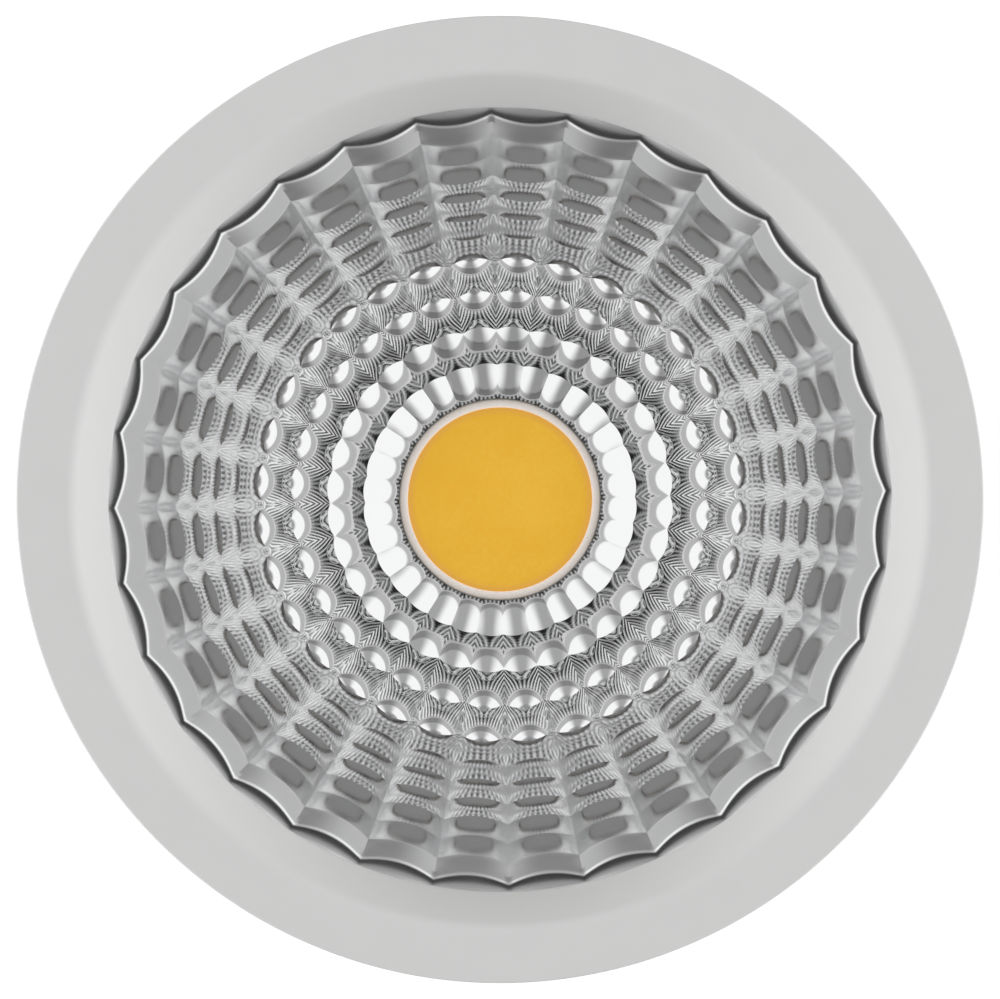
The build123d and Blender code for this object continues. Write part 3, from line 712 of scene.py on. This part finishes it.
# Capacitors, chips and fuse resistor
# Aluminium cans in shrunk plastic sleeves, chips in matt black moulding compound and a lacquered
# resistor, all soldered to the driver board.
CANS = ["input_capacitor", "output_capacitor"]
CHIPS = ["bridge_rectifier", "driver_chip"]
moulded("capacitor_sleeve", CANS, grain=0.3 * MM, height=0.002 * MM, rough=0.3)
moulded("moulding_compound", CHIPS, grain=0.08 * MM, height=0.003 * MM, rough=0.6)
moulded("resistor_lacquer", ["fuse_resistor"], grain=0.2 * MM, height=0.002 * MM, rough=0.3)

# Terminal block
# A green plastic housing, moulded in one piece round two clamps for the supply cord. It is soldered to
# the board.
moulded("terminal_plastic", ["terminal_block"], grain=0.2 * MM, height=0.004 * MM, rough=0.5)

# Rear cover
# An off-white plastic lid over the driver, moulded with an eroded surface. Three screws hold it on the
# body's bosses.
moulded("cover_plastic", ["rear_cover"], grain=0.3 * MM, height=0.010 * MM, rough=0.55)

# Cord grommet
# A ring of soft black rubber round the inlet for the supply cord. It is moulded with a groove all round and
# snaps into the hole of the rear cover.
moulded("black_rubber", ["cord_grommet"], grain=0.25 * MM, height=0.006 * MM, rough=0.65)

# Screws
# Steel screws with a bright zinc plating, headed cold. They fix the holder, the front ring and the rear
# cover, and clamp the cord's cores in the terminal block.
SCREWS = ["ring_screws", "rear_cover_screws", "holder_screws", "terminal_screws"]
metal("steel", SCREWS, grain=0.15 * MM, height=0.002 * MM, rough=0.32)

# Floor
# A pale sweep that the module stands on. The camera and the mirror see it brightened to the white of the
# photograph, and it keeps the module's shadow.
FLOOR_HALF = 0.6
FLOOR_Z = -0.05 * MM
FLOOR_TONE = (0.86, 0.86, 0.86, 1.0)
FLOOR_GLOW = 0.5
FLOOR_ROUGH = 0.8
RAYS = ("Is Camera Ray", "Is Glossy Ray", "Is Transmission Ray")
floor_corners = np.array([(-1, -1, 0), (1, -1, 0), (1, 1, 0), (-1, 1, 0)]) * FLOOR_HALF
floor_mesh = bpy.data.meshes.new("floor")
floor_mesh.from_pydata(floor_corners + np.array([0.0, 0.0, FLOOR_Z]), [], [(0, 1, 2, 3)])
floor = bpy.data.objects.new("floor", floor_mesh)
bpy.context.scene.collection.objects.link(floor)
floor_values = {"Base Color": FLOOR_TONE, "Roughness": FLOOR_ROUGH, "Emission Strength": FLOOR_GLOW}
sweep, shader, place = new_material("pale_floor", floor_values)
camera_ray, glossy_ray, through_ray = [place.node("LightPath", kind, {}) for kind in RAYS]
(camera_ray + glossy_ray + through_ray).blend(BLACK, (1.0, 1.0, 1.0)).into(shader, "Emission Color")
floor_mesh.materials.append(sweep)

# Light
# A white tent: pale walls all round, a bright softbox to the left and the right, a grey top and the dark
# opening that the camera looks through. Its heights are degrees over the horizon.
BOX_TURN = (0.15, 0.62)  # share of a level ray that points sideways, from the end walls to the softboxes
FAR_TURN = (-0.3, 0.3)  # share that points to the far side, from the near wall to the far one
BOX_EDGE = (34.5, 36.5)  # where the softboxes and the upper walls start
SEAM_EDGE = (37.0, 39.0)  # where the dark seam over that edge ends
TOP_EDGE = (58.0, 68.0)
OPENING_EDGE = (73.0, 79.0)
NEAR_WALL = 0.26
NEAR_ABOVE = 0.19  # how much lighter the near wall is above the softboxes' lower edge
SEAM_DIP = 0.22
FAR_WALL = 0.34
FAR_ABOVE = 0.22
SIDE_WALL = 0.70
SIDE_ABOVE = 0.72
NEAR_TOP = 0.30
FAR_TOP_MORE = 0.10
SIDE_TOP = 0.48
OPENING = 0.02
BACKDROP = 0.9
TENT_STRENGTH = 0.73
SHORTEST = 1e-6  # keeps the divisions by a level length sound
world = bpy.data.worlds.new("tent")
bpy.context.scene.world = world
world.use_nodes = True
tree = world.node_tree
sky = tree.nodes["Background"]
ray = Sock(tree, tree.nodes.new("ShaderNodeTexCoord").outputs["Generated"])
ray_x, ray_y, ray_z = [ray.node("SeparateXYZ", axis, {0: ray}) for axis in range(3)]
elevation = ray_z.math("ARCSINE") * float(np.degrees(1.0))
level_length = (1.0 - ray_z * ray_z).math("MAXIMUM", SHORTEST).math("SQRT")
sideways = (ray_x.math("ABSOLUTE") / level_length).rise(*BOX_TURN)
far_side = (ray_y / level_length).rise(*FAR_TURN)
over = elevation.rise(*BOX_EDGE)
seam = over * (1.0 - elevation.rise(*SEAM_EDGE))
near_wall = NEAR_WALL + over * NEAR_ABOVE - seam * SEAM_DIP
far_wall = FAR_WALL + over * FAR_ABOVE
end_wall = near_wall + (far_wall - near_wall) * far_side
tent_wall = end_wall + (SIDE_WALL + over * SIDE_ABOVE - end_wall) * sideways
end_top = NEAR_TOP + far_side * FAR_TOP_MORE
tent_top = end_top + (SIDE_TOP - end_top) * sideways
closed_tent = tent_wall + (tent_top - tent_wall) * elevation.rise(*TOP_EDGE)
tent = closed_tent + (OPENING - closed_tent) * elevation.rise(*OPENING_EDGE)
straight = ray.node("LightPath", "Is Camera Ray", {})
(tent + (BACKDROP - tent) * straight).into(sky, "Color")
sky.inputs["Strength"].default_value = TENT_STRENGTH

# Lamps
# Two low softboxes, left and right of the module, which light the bevel of the front ring. They stand out
# of the mirror's sight.
LAMP_DISTANCE = 0.6
LAMP_HEIGHT = np.radians(10.0)
LAMP_SIZE = 0.25
LAMP_POWER = 2.1
for side in (-1.0, 1.0):
    lamp = bpy.data.objects.new("lamp", bpy.data.lights.new("lamp", "AREA"))
    lamp.data.size = LAMP_SIZE
    lamp.data.energy = LAMP_POWER
    lamp.location = (
        side * LAMP_DISTANCE * np.cos(LAMP_HEIGHT),
        0.0,
        cad_high.z + LAMP_DISTANCE * np.sin(LAMP_HEIGHT),
    )
    lamp.rotation_euler = (0.0, side * (np.pi / 2 - LAMP_HEIGHT), 0.0)
    lamp.visible_camera = False
    lamp.visible_glossy = False
    bpy.context.scene.collection.objects.link(lamp)

# Camera
# Straight over the front on a long lens, so that the ring fills the picture as in the photograph. It has no
# shift and no depth of field.
VIEW_DISTANCE = 0.8
VIEW_END = 10.0
PICTURE_W = 51.65 * MM  # width of the picture in the plane of the ring's face
camera = bpy.data.objects.new("camera", bpy.data.cameras.new("camera"))
camera.data.lens = camera.data.sensor_width * VIEW_DISTANCE / PICTURE_W
camera.data.clip_end = VIEW_END
camera.location = (0.0, 0.0, cad_high.z + VIEW_DISTANCE)
bpy.context.scene.collection.objects.link(camera)
bpy.context.scene.camera = camera
bpy.context.scene.view_settings.view_transform = "Standard"
